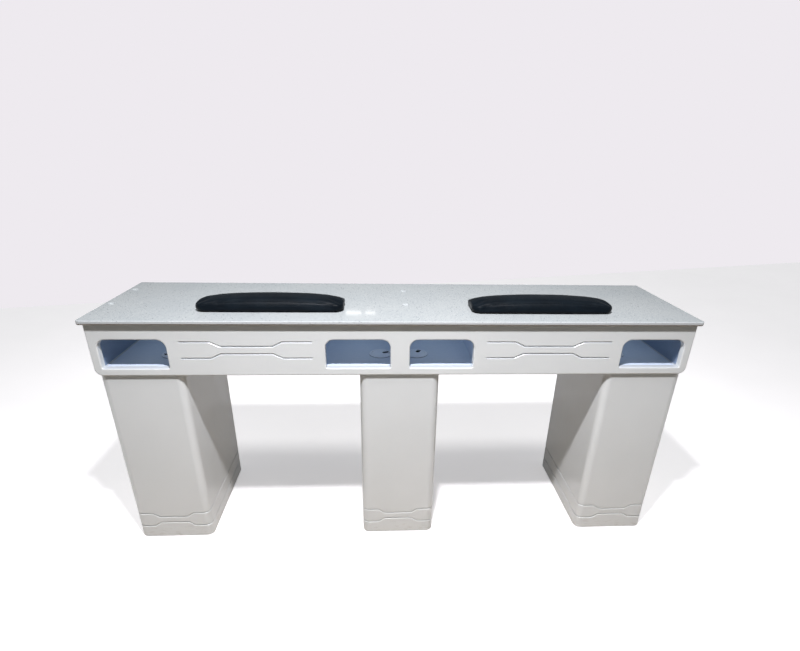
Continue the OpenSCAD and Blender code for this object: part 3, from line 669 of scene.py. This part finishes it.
def pale_floor():
    """Floor that looks bright, and gives only dim brownish light back to the object."""
    f = Finish("pale_floor", 0.55)
    colour = f.mix(f.span(f.noise(1.3, 3), 0.35, 0.65), rgb(246, 245, 246), rgb(249, 248, 249))
    f.done(colour, f.span(f.noise(5, 2), 0.3, 0.7, 0.5, 0.6), f.bump(f.noise(180, 2), 0.00005))
    f.shader.inputs["Emission Color"].default_value = (1.0, 0.985, 1.0, 1.0)
    f.shader.inputs["Emission Strength"].default_value = 0.4
    dim = f.node("ShaderNodeBsdfDiffuse")
    dim.inputs["Color"].default_value = (0.30, 0.235, 0.165, 1.0)
    split = f.node("ShaderNodeMixShader")
    f.feed(split.inputs[0], f.node("ShaderNodeLightPath").outputs["Is Diffuse Ray"])
    f.feed(split.inputs[1], f.shader.outputs["BSDF"])
    f.feed(split.inputs[2], dim.outputs["BSDF"])
    f.feed(f.tree.nodes["Material Output"].inputs["Surface"], split.outputs["Shader"])
    return f.material


floor_mesh = bpy.data.meshes.new("floor")
floor_mesh.from_pydata([(-9, -1.7, 0), (12, -1.7, 0), (12, 6.5, 0), (-9, 1.0, 0)], [], [(0, 1, 2, 3)])
floor_mesh.materials.append(pale_floor())
floor = bpy.data.objects.new("floor", floor_mesh)
scene.collection.objects.link(floor)

# The camera sees a plain pale wall, and a dimmer, cooler light fills the object's shadows.
world = bpy.data.worlds.new("world")
scene.world = world
world.use_nodes = True
links = world.node_tree.links
seen = world.node_tree.nodes["Background"]
seen.inputs["Color"].default_value = rgb(238, 234, 239)
seen.inputs["Strength"].default_value = 1.0
fill = world.node_tree.nodes.new("ShaderNodeBackground")
fill.inputs["Color"].default_value = (0.87, 0.92, 0.97, 1.0)
fill.inputs["Strength"].default_value = 0.155
path = world.node_tree.nodes.new("ShaderNodeLightPath")
both = world.node_tree.nodes.new("ShaderNodeMixShader")
links.new(path.outputs["Is Camera Ray"], both.inputs[0])
links.new(fill.outputs["Background"], both.inputs[1])
links.new(seen.outputs["Background"], both.inputs[2])
links.new(both.outputs["Shader"], world.node_tree.nodes["World Output"].inputs["Surface"])


def add_lamp(name, kind, place, target, energy, colour=(1, 1, 1), **settings):
    data = bpy.data.lights.new(name, kind)
    data.energy = energy
    data.color = colour
    for key, value in settings.items():
        setattr(data, key, value)
    obj = bpy.data.objects.new(name, data)
    scene.collection.objects.link(obj)
    obj.location = place
    obj.rotation_euler = (Vector(target) - Vector(place)).to_track_quat("-Z", "Y").to_euler()
    return obj


# A broad light from nearly overhead, and a soft ceiling lamp above the clients' side.
add_lamp("broad_light", "SUN", (0, -0.75, 3.9), (0, 0, 0), 1.05, (1, 0.985, 0.975), angle=math.radians(12))
add_lamp("ceiling_lamp", "SPOT", (-0.09, -1.05, 2.45), (0.0, -0.2, 0.6), 280, (0.995, 0.975, 1.0),
         spot_size=math.radians(110), spot_blend=1.0, shadow_soft_size=0.07)

# Low spots light the technicians' side and both ends, which the lamps above leave dark.
for place, target in (((-0.76, 2.3), (-0.76, 0.2)), ((0, 2.3), (0, 0.2)), ((0.76, 2.3), (0.76, 0.2)),
                      ((-3.0, 0), (-0.9, 0)), ((3.0, 0), (0.9, 0))):
    lamp = add_lamp("side_fill", "SPOT", (*place, 0.5), (*target, 0.42), 72, (1, 0.99, 0.98),
                    spot_size=math.radians(26), spot_blend=0.8, shadow_soft_size=0.1)
    lamp.visible_glossy = False

# One small light under the top in each cubby, between the panels on its two sides.
for left, right, energy in (("left_end_panel", "left_outer_divider", 0.067),
                            ("left_inner_divider", "centre_divider", 0.08),
                            ("centre_divider", "right_inner_divider", 0.08),
                            ("right_outer_divider", "right_end_panel", 0.073)):
    middle = (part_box(left)[1][0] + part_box(right)[0][0]) / 2
    lamp = add_lamp("cubby_fill", "AREA", (middle, -0.01, 0.745), (middle, -0.01, 0.6), energy,
                    (0.66, 0.82, 1.0), shape="RECTANGLE", size=0.19, size_y=0.33)
    lamp.visible_camera = False

# Two far lamps behind the table, whose reflections are the glints in the stone.
for x, wide, energy in ((-0.28, 0.13, 0.024), (-0.135, 0.09, 0.013)):
    lamp = add_lamp("far_lamp", "AREA", (x, 2.73, 1.64), (x + 0.08, -0.14, 0.78), energy,
                    (1, 0.97, 0.93), shape="RECTANGLE", size=wide, size_y=0.02)
    lamp.visible_camera = False


# ---- Camera ----

# Fitted to the photograph: the place in metres, the turns in radians, the lens in millimetres.
CAMERA_PLACE = (-0.0637, -1.6159, 1.2230)
CAMERA_YAW, CAMERA_PITCH, CAMERA_ROLL = -0.06391, -0.45723, -0.02194
CAMERA_SENSOR = 36
CAMERA_LENS = 22.86
CAMERA_SHIFT = (-0.0101, 0.0909)
camera_data = bpy.data.cameras.new("camera")
camera = bpy.data.objects.new("camera", camera_data)
scene.collection.objects.link(camera)
turn = (Matrix.Rotation(CAMERA_YAW, 4, "Z") @ Matrix.Rotation(CAMERA_PITCH, 4, "X")
        @ Matrix.Rotation(CAMERA_ROLL, 4, "Y") @ Matrix.Rotation(math.pi / 2, 4, "X"))
camera.matrix_world = Matrix.Translation(CAMERA_PLACE) @ turn
camera_data.sensor_width = CAMERA_SENSOR
camera_data.lens = CAMERA_LENS
camera_data.shift_x, camera_data.shift_y = CAMERA_SHIFT
scene.camera = camera

scene.view_settings.view_transform = "Standard"
scene.view_settings.look = "None"
